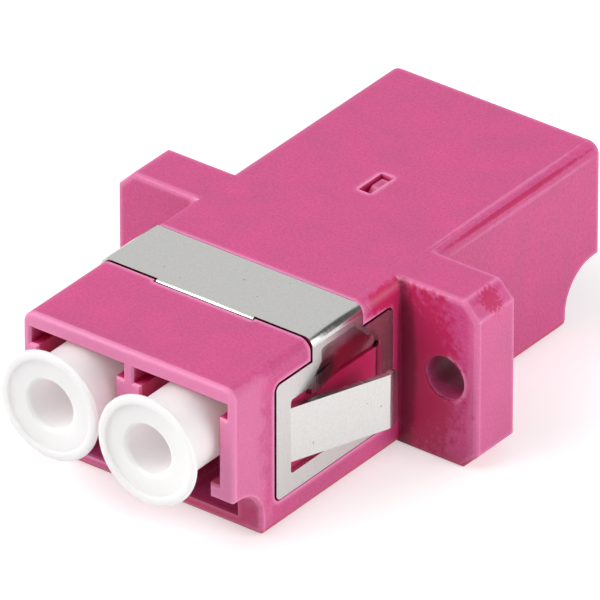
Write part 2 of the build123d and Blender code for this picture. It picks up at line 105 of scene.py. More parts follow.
class ADAPTER_PG_clip(PropertyGroup):
    steel_colour: FloatVectorProperty(
        name="Steel colour", description="Colour of the spring strip", subtype="COLOR", size=3,
        min=0.0, max=1.0, default=(0.61, 0.605, 0.59))
    # The gap colour is painted shade on the strip beside narrow gaps
    gap_shade_colour: FloatVectorProperty(
        name="Gap colour", description="Colour of the strip beside narrow gaps", subtype="COLOR", size=3,
        min=0.0, max=1.0, default=(0.16, 0.10, 0.11))
    roughness: FloatProperty(
        name="Roughness", description="How blurred the strip's reflections are",
        min=0.0, max=1.0, default=0.24)
    edge_softness: FloatProperty(
        name="Edge softness", description="Width of the rounding on stamped edges",
        subtype="DISTANCE", unit="LENGTH", min=0.0, default=0.05 * MM)
    fold_inset: FloatProperty(
        name="Fold depth", description="How far the leg's inner part is pressed in",
        subtype="DISTANCE", unit="LENGTH", min=0.0, default=0.42 * MM)
    tip_bend: FloatProperty(
        name="Tip bend", description="Where the tongue's tip starts, along the ports",
        subtype="DISTANCE", unit="LENGTH", default=-3.5 * MM)
    tip_inner: FloatProperty(
        name="Tip inner face", description="How far out from the middle the tongue's tip lies at least",
        subtype="DISTANCE", unit="LENGTH", default=7.9 * MM)
    tip_curl: FloatProperty(
        name="Tip curl", description="Angle by which the tongue's tip turns in", subtype="ANGLE",
        default=math.radians(13.0))


class ADAPTER_PG_caps(PropertyGroup):
    disc_diameter: FloatProperty(
        name="Disc diameter", description="Width of the cap's grip disc",
        subtype="DISTANCE", unit="LENGTH", min=0.0, default=5.9 * MM)
    disc_thickness: FloatProperty(
        name="Disc thickness", description="Thickness of the grip disc at its edge",
        subtype="DISTANCE", unit="LENGTH", min=0.0, default=0.35 * MM)
    flare_length: FloatProperty(
        name="Flare length", description="Length of the cone from the disc down to the stem",
        subtype="DISTANCE", unit="LENGTH", min=0.0, default=0.35 * MM)
    rim_width: FloatProperty(
        name="Rim width", description="Width of the raised rim of the disc",
        subtype="DISTANCE", unit="LENGTH", min=0.0, default=0.5 * MM)
    face_recess: FloatProperty(
        name="Face recess", description="How far the disc's face lies behind its rim",
        subtype="DISTANCE", unit="LENGTH", min=0.0, default=0.15 * MM)
    bore_diameter: FloatProperty(
        name="Bore diameter", description="Width of the blind hole in the cap's face",
        subtype="DISTANCE", unit="LENGTH", min=0.0, default=2.65 * MM)
    bore_depth: FloatProperty(
        name="Bore depth", description="Depth of the blind hole in the cap's face",
        subtype="DISTANCE", unit="LENGTH", min=0.0, default=7.5 * MM)
    stem_diameter: FloatProperty(
        name="Stem diameter", description="Width of the stem inside the port",
        subtype="DISTANCE", unit="LENGTH", min=0.0, default=4.25 * MM)
    rear_bore_diameter: FloatProperty(
        name="Rear bore diameter", description="Width of the hole in the cap's inner end",
        subtype="DISTANCE", unit="LENGTH", min=0.0, default=3.2 * MM)
    rear_bore_depth: FloatProperty(
        name="Rear bore depth", description="Depth of the hole in the cap's inner end",
        subtype="DISTANCE", unit="LENGTH", min=0.0, default=3.6 * MM)
    edge_softness: FloatProperty(
        name="Edge softness", description="Width of the rounding on the cap's edges",
        subtype="DISTANCE", unit="LENGTH", min=0.0, default=0.04 * MM)
    sides: IntProperty(
        name="Sides", description="Number of facets round the cap", min=16, default=96)
    plastic_colour: FloatVectorProperty(
        name="Plastic colour", description="Colour of the soft white plastic", subtype="COLOR", size=3,
        min=0.0, max=1.0, default=(0.80, 0.80, 0.795))
    # The glow colour is a painted glow in the cap's hollows, standing in for light through the plastic
    painted_glow_colour: FloatVectorProperty(
        name="Glow colour", description="Light that comes through the plastic into its hollows",
        subtype="COLOR", size=3, min=0.0, max=1.0, default=(0.13, 0.105, 0.11))


class ADAPTER_PG_stage(PropertyGroup):
    azimuth: FloatProperty(
        name="Azimuth", description="Camera's turn round the adapter", subtype="ANGLE",
        default=math.radians(37.204))
    elevation: FloatProperty(
        name="Elevation", description="Camera's angle above the horizon", subtype="ANGLE",
        default=math.radians(31.071))
    distance: FloatProperty(
        name="Distance", description="Camera's distance from the adapter",
        subtype="DISTANCE", unit="LENGTH", default=681.6 * MM)
    lens: FloatProperty(
        name="Lens", description="Focal length for a sensor 36 mm wide", subtype="DISTANCE_CAMERA",
        unit="CAMERA", default=839.3)
    world_strength: FloatProperty(
        name="Surround strength", description="Strength of the pale surround", min=0.0, default=0.50)
    key_power: FloatProperty(
        name="Key lamp", description="Power of the soft lamp above and to the left",
        unit="POWER", default=2.4)
    fill_power: FloatProperty(
        name="Side lamp", description="Power of the soft lamp to the right", unit="POWER", default=1.35)


# Shader groups and materials

def node(tree, kind, **values):
    """A new node with its properties set by name."""
    made = tree.nodes.new(kind)
    for name, value in values.items():
        setattr(made, name, value)
    return made


def new_group(name, inputs, outputs):
    """A shader node group with named sockets, and its two end nodes."""
    group = bpy.data.node_groups.new(name, "ShaderNodeTree")
    for label, kind, default in inputs:
        socket = group.interface.new_socket(label, in_out="INPUT", socket_type=kind)
        if default is not None:
            socket.default_value = default
    for label, kind in outputs:
        group.interface.new_socket(label, in_out="OUTPUT", socket_type=kind)
    return group, node(group, "NodeGroupInput"), node(group, "NodeGroupOutput")


def moulded_grain_group():
    """Fine pits and a slow mottle, as on moulded plastic. Scales are per metre."""
    if "Moulded grain" in bpy.data.node_groups:
        return bpy.data.node_groups["Moulded grain"]
    group, start, end = new_group(
        "Moulded grain",
        [("Grain scale", "NodeSocketFloat", 9000.0), ("Mottle scale", "NodeSocketFloat", 500.0)],
        [("Height", "NodeSocketFloat"), ("Mottle", "NodeSocketFloat")])
    place = node(group, "ShaderNodeTexCoord")
    fine = node(group, "ShaderNodeTexNoise")
    fine.inputs["Detail"].default_value = 3.0
    fine.inputs["Roughness"].default_value = 0.6
    slow = node(group, "ShaderNodeTexNoise")
    slow.inputs["Detail"].default_value = 5.0
    slow.inputs["Roughness"].default_value = 0.62
    link = group.links.new
    link(place.outputs["Object"], fine.inputs["Vector"])
    link(place.outputs["Object"], slow.inputs["Vector"])
    link(start.outputs["Grain scale"], fine.inputs["Scale"])
    link(start.outputs["Mottle scale"], slow.inputs["Scale"])
    link(fine.outputs["Fac"], end.inputs["Height"])
    link(slow.outputs["Fac"], end.inputs["Mottle"])
    return group


def crevice_group():
    """A mask that is 1 in narrow corners and cavities and 0 in the open."""
    if "Crevice" in bpy.data.node_groups:
        return bpy.data.node_groups["Crevice"]
    group, start, end = new_group(
        "Crevice",
        [("Reach", "NodeSocketFloat", 0.0015), ("Ragged", "NodeSocketFloat", 0.25)],
        [("Mask", "NodeSocketFloat")])
    shut = node(group, "ShaderNodeAmbientOcclusion", samples=8)
    place = node(group, "ShaderNodeTexCoord")
    rags = node(group, "ShaderNodeTexNoise")
    rags.inputs["Scale"].default_value = 2600.0
    rags.inputs["Detail"].default_value = 4.0
    centred = node(group, "ShaderNodeMath", operation="SUBTRACT")
    centred.inputs[1].default_value = 0.5
    weighed = node(group, "ShaderNodeMath", operation="MULTIPLY")
    summed = node(group, "ShaderNodeMath", operation="ADD")
    ramp = node(group, "ShaderNodeMapRange", clamp=True)
    ramp.inputs["From Min"].default_value = 0.72
    ramp.inputs["From Max"].default_value = 0.38
    link = group.links.new
    link(start.outputs["Reach"], shut.inputs["Distance"])
    link(place.outputs["Object"], rags.inputs["Vector"])
    link(rags.outputs["Fac"], centred.inputs[0])
    link(centred.outputs["Value"], weighed.inputs[0])
    link(start.outputs["Ragged"], weighed.inputs[1])
    link(shut.outputs["AO"], summed.inputs[0])
    link(weighed.outputs["Value"], summed.inputs[1])
    link(summed.outputs["Value"], ramp.inputs["Value"])
    link(ramp.outputs["Result"], end.inputs["Mask"])
    return group


def ragged_patch_group():
    """A ragged patch round a place on the piece, 1 at its middle."""
    if "Ragged patch" in bpy.data.node_groups:
        return bpy.data.node_groups["Ragged patch"]
    group, start, end = new_group(
        "Ragged patch",
        [("Middle", "NodeSocketVector", None), ("Half size", "NodeSocketVector", None),
         ("Ragged", "NodeSocketFloat", 1.0), ("Rag scale", "NodeSocketFloat", 2200.0)],
        [("Mask", "NodeSocketFloat")])
    place = node(group, "ShaderNodeTexCoord")
    offset = node(group, "ShaderNodeVectorMath", operation="SUBTRACT")
    share = node(group, "ShaderNodeVectorMath", operation="DIVIDE")
    far = node(group, "ShaderNodeVectorMath", operation="LENGTH")
    rags = node(group, "ShaderNodeTexNoise")
    rags.inputs["Detail"].default_value = 5.0
    rags.inputs["Roughness"].default_value = 0.65
    centred = node(group, "ShaderNodeMath", operation="SUBTRACT")
    centred.inputs[1].default_value = 0.5
    weighed = node(group, "ShaderNodeMath", operation="MULTIPLY")
    summed = node(group, "ShaderNodeMath", operation="ADD")
    ramp = node(group, "ShaderNodeMapRange", clamp=True, interpolation_type="SMOOTHSTEP")
    ramp.inputs["From Min"].default_value = 1.15
    ramp.inputs["From Max"].default_value = 0.7
    link = group.links.new
    link(place.outputs["Object"], offset.inputs[0])
    link(start.outputs["Middle"], offset.inputs[1])
    link(offset.outputs["Vector"], share.inputs[0])
    link(start.outputs["Half size"], share.inputs[1])
    link(share.outputs["Vector"], far.inputs[0])
    link(place.outputs["Object"], rags.inputs["Vector"])
    link(start.outputs["Rag scale"], rags.inputs["Scale"])
    link(rags.outputs["Fac"], centred.inputs[0])
    link(centred.outputs["Value"], weighed.inputs[0])
    link(start.outputs["Ragged"], weighed.inputs[1])
    link(far.outputs["Value"], summed.inputs[0])
    link(weighed.outputs["Value"], summed.inputs[1])
    link(summed.outputs["Value"], ramp.inputs["Value"])
    link(ramp.outputs["Result"], end.inputs["Mask"])
    return group


def edge_light_group():
    """A mask that is 1 along the outer edges of a moulding and 0 on its flats."""
    if "Edge light" in bpy.data.node_groups:
        return bpy.data.node_groups["Edge light"]
    group, start, end = new_group(
        "Edge light",
        [("Width", "NodeSocketFloat", 0.0003), ("Strength", "NodeSocketFloat", 1.0)],
        [("Mask", "NodeSocketFloat")])
    rounded = node(group, "ShaderNodeBevel", samples=6)
    flat = node(group, "ShaderNodeNewGeometry")
    dot = node(group, "ShaderNodeVectorMath", operation="DOT_PRODUCT")
    ramp = node(group, "ShaderNodeMapRange", clamp=True)
    ramp.inputs["From Min"].default_value = 0.998
    ramp.inputs["From Max"].default_value = 0.92
    strength = node(group, "ShaderNodeMath", operation="MULTIPLY", use_clamp=True)
    link = group.links.new
    link(start.outputs["Width"], rounded.inputs["Radius"])
    link(rounded.outputs["Normal"], dot.inputs[0])
    link(flat.outputs["Normal"], dot.inputs[1])
    link(dot.outputs["Value"], ramp.inputs["Value"])
    link(ramp.outputs["Result"], strength.inputs[0])
    link(start.outputs["Strength"], strength.inputs[1])
    link(strength.outputs["Value"], end.inputs["Mask"])
    return group


def rolled_strip_group():
    """Faint rolling lines along the strip."""
    if "Rolled strip" in bpy.data.node_groups:
        return bpy.data.node_groups["Rolled strip"]
    group, start, end = new_group(
        "Rolled strip",
        [("Line scale", "NodeSocketFloat", 5000.0), ("Stretch", "NodeSocketFloat", 0.04)],
        [("Lines", "NodeSocketFloat")])
    place = node(group, "ShaderNodeTexCoord")
    stretch = node(group, "ShaderNodeVectorMath", operation="MULTIPLY")
    axes = node(group, "ShaderNodeCombineXYZ")
    axes.inputs["Y"].default_value = 1.0
    lines = node(group, "ShaderNodeTexNoise")
    lines.inputs["Detail"].default_value = 3.0
    link = group.links.new
    link(start.outputs["Stretch"], axes.inputs["X"])
    link(start.outputs["Stretch"], axes.inputs["Z"])
    link(place.outputs["Object"], stretch.inputs[0])
    link(axes.outputs["Vector"], stretch.inputs[1])
    link(stretch.outputs["Vector"], lines.inputs["Vector"])
    link(start.outputs["Line scale"], lines.inputs["Scale"])
    link(lines.outputs["Fac"], end.inputs["Lines"])
    return group


def placed(tree, group, **values):
    """A shader node group in a tree, with its inputs set by name; an underscore stands for a space."""
    made = node(tree, "ShaderNodeGroup", node_tree=group)
    for name, value in values.items():
        made.inputs[name.replace("_", " ")].default_value = value
    return made


def coloured_over(tree, mask, below, colour):
    """Lays one plain colour over what is below it, as far as a mask says."""
    mix = node(tree, "ShaderNodeMix", data_type="RGBA")
    mix.inputs[7].default_value = (*colour, 1.0)
    tree.links.new(mask, mix.inputs["Factor"])
    tree.links.new(below, mix.inputs[6])
    return mix.outputs[2]


def new_material(name):
    """A material with one Principled shader, and that shader."""
    material = bpy.data.materials.new(name)
    material.use_nodes = True
    return material, material.node_tree.nodes["Principled BSDF"]


def mixed_colour(tree, factor, low, high):
    """A mix of two plain colours by a factor that changes over the surface."""
    mix = node(tree, "ShaderNodeMix", data_type="RGBA")
    mix.inputs[6].default_value = (*low, 1.0)
    mix.inputs[7].default_value = (*high, 1.0)
    tree.links.new(factor, mix.inputs["Factor"])
    return mix


def ranged(tree, source, low, high, start=0.3, stop=0.7):
    """Brings a value that runs from start to stop into the range from low to high."""
    span = node(tree, "ShaderNodeMapRange", clamp=True)
    span.inputs["From Min"].default_value = start
    span.inputs["From Max"].default_value = stop
    span.inputs["To Min"].default_value = low
    span.inputs["To Max"].default_value = high
    tree.links.new(source, span.inputs["Value"])
    return span.outputs["Result"]


def bumped(tree, shader, height, distance):
    """Lets a height tilt the surface's shading."""
    bump = node(tree, "ShaderNodeBump")
    bump.inputs["Distance"].default_value = distance
    tree.links.new(height, bump.inputs["Height"])
    tree.links.new(bump.outputs["Normal"], shader.inputs["Normal"])


def with_patch(tree, mask, middle, half_size, ragged, rag_scale, weight):
    """A mask, if there is one, with a ragged patch laid over it. Places are in millimetres."""
    patch = placed(
        tree, ragged_patch_group(), Middle=[value * MM for value in middle],
        Half_size=[value * MM for value in half_size], Ragged=ragged, Rag_scale=rag_scale)
    weighed = node(tree, "ShaderNodeMath", operation="MULTIPLY")
    weighed.inputs[1].default_value = weight
    either = node(tree, "ShaderNodeMath", operation="MAXIMUM")
    either.inputs[0].default_value = 0.0
    tree.links.new(patch.outputs["Mask"], weighed.inputs[0])
    if mask:
        tree.links.new(mask, either.inputs[0])
    tree.links.new(weighed.outputs["Value"], either.inputs[1])
    return either.outputs["Value"]


# Painted darker patches: shade in corners and recesses beside the flange, the clip and the front notch, a
# darker spot on the flange's outer corner, and a painted dark reflection along the rear top edge: middle
# and half size in mm, raggedness, rag scale, weight
PAINTED_DARK_PATCHES = (
    ((7.6, -0.1, 0.0), (2.65, 0.27, 6.0), 1.7, 2200.0, 0.95),
    ((10.6, 1.6, 4.3), (0.75, 0.7, 0.7), 3.0, 5200.0, 0.75),
    ((6.3, -1.1, 4.2), (0.55, 1.7, 0.7), 1.5, 2600.0, 0.9),
    ((6.4, -0.3, 1.5), (0.6, 0.55, 4.5), 1.2, 2600.0, 0.8),
    ((6.26, 9.5, 4.52), (0.15, 6.6, 0.15), 1.0, 2600.0, 0.8),
    ((6.05, -5.4, 0.4), (0.22, 5.2, 4.6), 0.3, 2200.0, 1.0),
    ((-6.05, -5.4, 0.4), (0.22, 5.2, 4.6), 0.3, 2200.0, 1.0),
    ((3.1, -11.2, -3.2), (3.4, 0.5, 1.6), 1.0, 2600.0, 0.6),
)


# Painted highlights on the front face, the front right edge, the flange's outer side and beside the rear
# top edge: middle and half size in mm, raggedness, rag scale, weight
HIGHLIGHT_PATCHES = (
    ((0.0, -13.45, 0.0), (30.0, 0.4, 30.0), 0.3, 2200.0, 0.6),
    ((6.5, -13.3, 0.0), (0.5, 2.6, 30.0), 1.2, 900.0, 0.3),
    ((10.9, 1.5, 0.0), (0.5, 30.0, 30.0), 1.2, 700.0, 0.15),
    ((5.75, 9.7, 4.72), (0.13, 6.6, 0.12), 1.3, 1500.0, 0.3),
    ((6.42, 9.7, 4.1), (0.12, 6.6, 0.13), 1.3, 1500.0, 0.22),
)


# Shade in the corner between body and flange and in the right screw hole, in the same terms
SHADE_PATCHES = (
    ((6.4, 0.0, -0.3), (0.95, 0.35, 5.4), 0.6, 1500.0, 0.7),
    ((9.0, 1.6, 0.0), (1.6, 1.7, 1.35), 0.3, 1500.0, 0.85),
)


def magenta_plastic():
    """Moulded magenta plastic: satin, finely grained, with painted shade in its corners and painted
    highlights at its edges.
    """
    if "Magenta plastic" in bpy.data.materials:
        return bpy.data.materials["Magenta plastic"]
    settings = bpy.context.scene.adapter_housing
    material, shader = new_material("Magenta plastic")
    tree = material.node_tree
    link = tree.links.new
    grain = placed(tree, moulded_grain_group(), Grain_scale=7000.0, Mottle_scale=420.0)
    # A slow mottle in the plastic's colour, and fine specks over it
    base = Vector(settings.plastic_colour)
    mottled = mixed_colour(tree, ranged(tree, grain.outputs["Mottle"], 0.0, 1.0), base * 0.89, base * 1.08)
    speckled = node(tree, "ShaderNodeMix", data_type="RGBA", blend_type="MULTIPLY")
    speckled.inputs["Factor"].default_value = 1.0
    speck = mixed_colour(
        tree, ranged(tree, grain.outputs["Height"], 0.0, 1.0), (0.87, 0.70, 0.79), (1.06, 1.13, 1.10))
    link(mottled.outputs[2], speckled.inputs[6])
    link(speck.outputs[2], speckled.inputs[7])

    # Painted highlights along edges, painted shade in corners and painted shade beside the flange, each
    # with its own patches
    edges = placed(tree, edge_light_group(), Width=0.5 * MM, Strength=0.9)
    crevice = placed(tree, crevice_group(), Reach=1.6 * MM, Ragged=0.25)
    colour = speckled.outputs[2]
    for mask, patches, painted_colour in (
            (edges.outputs["Mask"], HIGHLIGHT_PATCHES, settings.edge_highlight_colour),
            (crevice.outputs["Mask"], PAINTED_DARK_PATCHES, settings.deep_shade_colour),
            (None, SHADE_PATCHES, settings.shade_colour)):
        for patch in patches:
            mask = with_patch(tree, mask, *patch)
        colour = coloured_over(tree, mask, colour, painted_colour)
    link(colour, shader.inputs["Base Color"])
    link(
        ranged(tree, grain.outputs["Mottle"], settings.roughness - 0.05, settings.roughness + 0.07),
        shader.inputs["Roughness"])
    shader.inputs["Subsurface Weight"].default_value = 0.1
    shader.inputs["Subsurface Radius"].default_value = (1.0, 0.25, 0.5)
    shader.inputs["Subsurface Scale"].default_value = 0.5 * MM
    shader.inputs["IOR"].default_value = 1.52
    bumped(tree, shader, grain.outputs["Height"], settings.grain_depth)
    return material


# Painted reflections and shade on the strip: the housing mirrored in the fold, painted shade on the fold's
# front, the dark flange mirrored in the tongue's tip and a painted shaded line along the strap's front
# edge. Each has its middle and half size in mm, weight and colour, and lies on both sides.
STRIP_REFLECTIONS_AND_SHADE = (
    ((6.12, -3.8, 2.5), (0.32, 2.6, 1.5), 0.9, (0.50, 0.03, 0.13)),
    ((6.2, -6.2, 2.4), (0.4, 1.15, 0.85), 0.9, (0.13, 0.12, 0.12)),
    ((8.15, -2.95, 0.2), (0.6, 0.42, 3.0), 0.6, (0.32, 0.20, 0.26)),
    ((0.0, -7.42, 4.52), (30.0, 0.10, 0.16), 0.9, (0.14, 0.10, 0.10)),
)


def spring_steel():
    """Rolled spring steel with a fine satin grain, a few small pits, and painted reflections and shade."""
    settings = bpy.context.scene.adapter_clip
    material, shader = new_material("Spring steel")
    tree = material.node_tree
    link = tree.links.new
    grain = placed(tree, moulded_grain_group(), Grain_scale=9000.0, Mottle_scale=900.0)
    strip = placed(tree, rolled_strip_group())
    base = Vector(settings.steel_colour)
    colour = mixed_colour(tree, ranged(tree, grain.outputs["Height"], 0.0, 1.0), base * 0.94, base * 1.04)
    # Small dark pits, the painted reflections and shade on both sides, and painted shade on the strip's
    # edges in narrow gaps
    place = node(tree, "ShaderNodeTexCoord")
    pits = node(tree, "ShaderNodeTexNoise")
    pits.inputs["Scale"].default_value = 3300.0
    pits.inputs["Detail"].default_value = 2.0
    link(place.outputs["Object"], pits.inputs["Vector"])
    pit_mask = ranged(tree, pits.outputs["Fac"], 0.0, 0.8, 0.735, 0.77)
    colour = coloured_over(tree, pit_mask, colour.outputs[2], base * 0.35)
    for middle, half_size, weight, painted_colour in STRIP_REFLECTIONS_AND_SHADE:
        for side in (-1, 1):
            patch = with_patch(
                tree, None, (side * middle[0], *middle[1:]), half_size, 0.5, 1500.0, weight)
            colour = coloured_over(tree, patch, colour, painted_colour)
    # Painted shade on the strip's edges in narrow gaps
    crevice = placed(tree, crevice_group(), Reach=0.35 * MM, Ragged=0.15)
    colour = coloured_over(tree, crevice.outputs["Mask"], colour, settings.gap_shade_colour)
    link(colour, shader.inputs["Base Color"])
    shader.inputs["Metallic"].default_value = 1.0
    link(
        ranged(tree, strip.outputs["Lines"], settings.roughness - 0.03, settings.roughness + 0.04),
        shader.inputs["Roughness"])
    bumped(tree, shader, grain.outputs["Height"], 0.0012 * MM)
    return material


def white_plastic():
    """Soft white plastic of the dust caps, translucent, with a painted glow in its hollows for the light
    that comes through.
    """
    settings = bpy.context.scene.adapter_caps
    material, shader = new_material("White plastic")
    tree = material.node_tree
    grain = placed(tree, moulded_grain_group(), Grain_scale=5000.0, Mottle_scale=380.0)
    base = Vector(settings.plastic_colour)
    colour = mixed_colour(tree, ranged(tree, grain.outputs["Mottle"], 0.0, 1.0), base * 0.975, base * 1.01)
    tree.links.new(colour.outputs[2], shader.inputs["Base Color"])
    tree.links.new(ranged(tree, grain.outputs["Mottle"], 0.36, 0.48), shader.inputs["Roughness"])
    # A painted glow in the hollows, standing in for light that comes through the plastic
    crevice = placed(tree, crevice_group(), Reach=3.0 * MM, Ragged=0.05)
    painted_glow_mix = mixed_colour(tree, crevice.outputs["Mask"], (0.0, 0.0, 0.0), settings.painted_glow_colour)
    tree.links.new(painted_glow_mix.outputs[2], shader.inputs["Emission Color"])
    shader.inputs["Emission Strength"].default_value = 1.0
    shader.inputs["Subsurface Weight"].default_value = 0.8
    shader.inputs["Subsurface Radius"].default_value = (1.0, 0.92, 0.90)
    shader.inputs["Subsurface Scale"].default_value = 1.1 * MM
    bumped(tree, shader, grain.outputs["Height"], 0.003 * MM)
    return material


def sleeve_ceramic():
    """Polished white ceramic of the split sleeves."""
    material, shader = new_material("Sleeve ceramic")
    tree = material.node_tree
    grain = placed(tree, moulded_grain_group())
    colour = mixed_colour(
        tree, ranged(tree, grain.outputs["Mottle"], 0.0, 1.0), (0.80, 0.78, 0.72), (0.86, 0.85, 0.80))
    tree.links.new(colour.outputs[2], shader.inputs["Base Color"])
    tree.links.new(ranged(tree, grain.outputs["Mottle"], 0.10, 0.18), shader.inputs["Roughness"])
    shader.inputs["IOR"].default_value = 2.1
    return material


# Modelling helpers

# On a copy of a solid, corners closer than this are joined, faces that turn less than FLAT_ANGLE
# become one flat, and edges that turn more than EDGE_ANGLE are rounded. Shading runs on over
# turns up to SMOOTH_ANGLE.
MERGE_DISTANCE = 0.0005 * MM
FLAT_ANGLE, EDGE_ANGLE, SMOOTH_ANGLE = math.radians(0.5), math.radians(35), math.radians(32)


def only(piece):
    """Selects one object alone and makes it active."""
    bpy.ops.object.select_all(action="DESELECT")
    piece.select_set(True)
    bpy.context.view_layer.objects.active = piece


def add_modifier(piece, kind, **settings):
    """Adds a modifier and applies it at once."""
    only(piece)
    modifier = piece.modifiers.new(kind.title(), kind)
    for name, value in settings.items():
        setattr(modifier, name, value)
    bpy.ops.object.modifier_apply(modifier=modifier.name)


def copy_of_solid(node_name, piece_name, edge_softness):
    """A clean copy of one solid: joined corners, whole flats and softened edges."""
    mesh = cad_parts[node_name].data.copy()
    mesh.materials.clear()
    piece = bpy.data.objects.new(piece_name, mesh)
    bpy.context.scene.collection.objects.link(piece)
    only(piece)
    bpy.ops.object.mode_set(mode="EDIT")
    bpy.ops.mesh.select_all(action="SELECT")
    bpy.ops.mesh.remove_doubles(threshold=MERGE_DISTANCE)
    bpy.ops.mesh.customdata_custom_splitnormals_clear()
    bpy.ops.mesh.dissolve_limited(angle_limit=FLAT_ANGLE)
    bpy.ops.object.mode_set(mode="OBJECT")
    add_modifier(
        piece, "BEVEL", width=edge_softness, segments=2, limit_method="ANGLE",
        angle_limit=EDGE_ANGLE, use_clamp_overlap=True, harden_normals=False, miter_outer="MITER_ARC")
    smooth(piece)
    return piece


def smooth(piece):
    """Rounds the shading of curves and keeps large flats flat."""
    only(piece)
    bpy.ops.object.shade_smooth_by_angle(angle=SMOOTH_ANGLE)
    add_modifier(piece, "WEIGHTED_NORMAL", mode="FACE_AREA", weight=100, keep_sharp=True)


def finish_piece(piece, body, slot, material, *nodes):
    """Gives a piece its material and its place on a body."""
    piece.data.materials.clear()
    piece.data.materials.append(material)
    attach(piece, body)
    if nodes:
        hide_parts(*nodes)


# Pieces

class ADAPTER_OT_housing(Operator):
    """Dress the moulded housing and its sleeve holder"""
    bl_idname = "adapter.housing"
    bl_label = "Housing"

    def execute(self, context):
        settings = context.scene.adapter_housing
        shell = copy_of_solid("housing", "housing_moulding", settings.edge_softness)
        finish_piece(shell, "adapter", "housing_plastic", magenta_plastic(), "housing")
        holder = copy_of_solid("sleeve_holder", "sleeve_holder_moulding", settings.holder_softness)
        finish_piece(holder, "adapter", "holder_plastic", magenta_plastic(), "sleeve_holder")
        return {"FINISHED"}


class ADAPTER_OT_sleeves(Operator):
    """Give the two split sleeves their ceramic"""
    bl_idname = "adapter.sleeves"
    bl_label = "Sleeves"

    def execute(self, context):
        ceramic = sleeve_ceramic()
        for name in ("sleeve_left", "sleeve_right"):
            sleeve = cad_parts[name]
            sleeve.data.materials.clear()
            sleeve.data.materials.append(ceramic)
        return {"FINISHED"}


# The fold pressed into the clip's leg: its edges, how far out it starts, the flat and curved lengths
# over which it deepens from the front, and the power by which it deepens downwards
FOLD_TOP, FOLD_SILL = 3.93 * MM, 1.6 * MM
FOLD_FRONT, FOLD_REAR = -7.55 * MM, -1.6 * MM
FOLD_SKIN = 6.44 * MM
FOLD_FLAT, FOLD_RUN = 0.1 * MM, 2.0 * MM
FOLD_CURVE = 2.2
FOLD_THICKNESS = 0.12 * MM
FOLD_ROWS, FOLD_COLUMNS = 30, 40
# Corners cut off the fold: a point in mm and the direction of what goes, along Y and Z
FOLD_CUTS = ((-6.1, 1.6, (-0.33, -0.94)), (-3.3, 3.6, (0.6, 0.8)), (-7.1, 3.4, (-0.74, 0.67)))


class ADAPTER_OT_spring_clip(Operator):
    """Dress the folded spring clip"""
    bl_idname = "adapter.spring_clip"
    bl_label = "Spring clip"

    def curl_tips(self, clip, settings):
        """Turns the tongues' tips in a little towards the housing."""
        for vertex in clip.data.vertices:
            beyond = vertex.co.y - settings.tip_bend
            if beyond > 0.0 and abs(vertex.co.x) > settings.tip_inner:
                vertex.co.x -= math.copysign(beyond * math.tan(settings.tip_curl), vertex.co.x)

    def keeper_fold(self, settings, side):
        """The leg's inner part, pressed in to the sill of the housing's window on one side."""
        bpy.ops.object.select_all(action="DESELECT")
        bpy.ops.mesh.primitive_grid_add(
            x_subdivisions=FOLD_ROWS, y_subdivisions=FOLD_COLUMNS, size=1.0,
            rotation=(0.0, math.pi / 2, 0.0))
        fold = bpy.context.active_object
        bpy.ops.object.transform_apply(location=True, rotation=True, scale=True)
        for vertex in fold.data.vertices:
            along, down = vertex.co.y + 0.5, 0.5 - vertex.co.z
            y = FOLD_FRONT + along * (FOLD_REAR - FOLD_FRONT)
            grown = min(max((y - FOLD_FRONT - FOLD_FLAT) / FOLD_RUN, 0.0), 1.0)
            grown = grown * grown * (3.0 - 2.0 * grown)
            sunk = (down ** FOLD_CURVE + down) / 2
            depth = settings.fold_inset * grown * sunk
            vertex.co = (side * (FOLD_SKIN - depth), y, FOLD_TOP - down * (FOLD_TOP - FOLD_SILL))
        bpy.ops.object.mode_set(mode="EDIT")
        for y, z, away in FOLD_CUTS:
            bpy.ops.mesh.select_all(action="SELECT")
            bpy.ops.mesh.bisect(plane_co=(0.0, y * MM, z * MM), plane_no=(0.0, *away), clear_outer=True)
        bpy.ops.object.mode_set(mode="OBJECT")
        fold.data.update()
        if fold.data.polygons[0].normal.x * side < 0:
            bpy.ops.object.mode_set(mode="EDIT")
            bpy.ops.mesh.select_all(action="SELECT")
            bpy.ops.mesh.flip_normals()
            bpy.ops.object.mode_set(mode="OBJECT")
        add_modifier(fold, "SOLIDIFY", thickness=FOLD_THICKNESS, offset=-1.0)
        bpy.ops.object.shade_smooth_by_angle(angle=math.radians(40))
        return fold

    def execute(self, context):
        settings = context.scene.adapter_clip
        clip = copy_of_solid("spring_clip", "spring_clip_strip", settings.edge_softness)
        self.curl_tips(clip, settings)
        folds = [self.keeper_fold(settings, side) for side in (-1, 1)]
        only(clip)
        for fold in folds:
            fold.select_set(True)
        bpy.ops.object.join()
        finish_piece(clip, "adapter", "clip_steel", spring_steel(), "spring_clip")
        return {"FINISHED"}


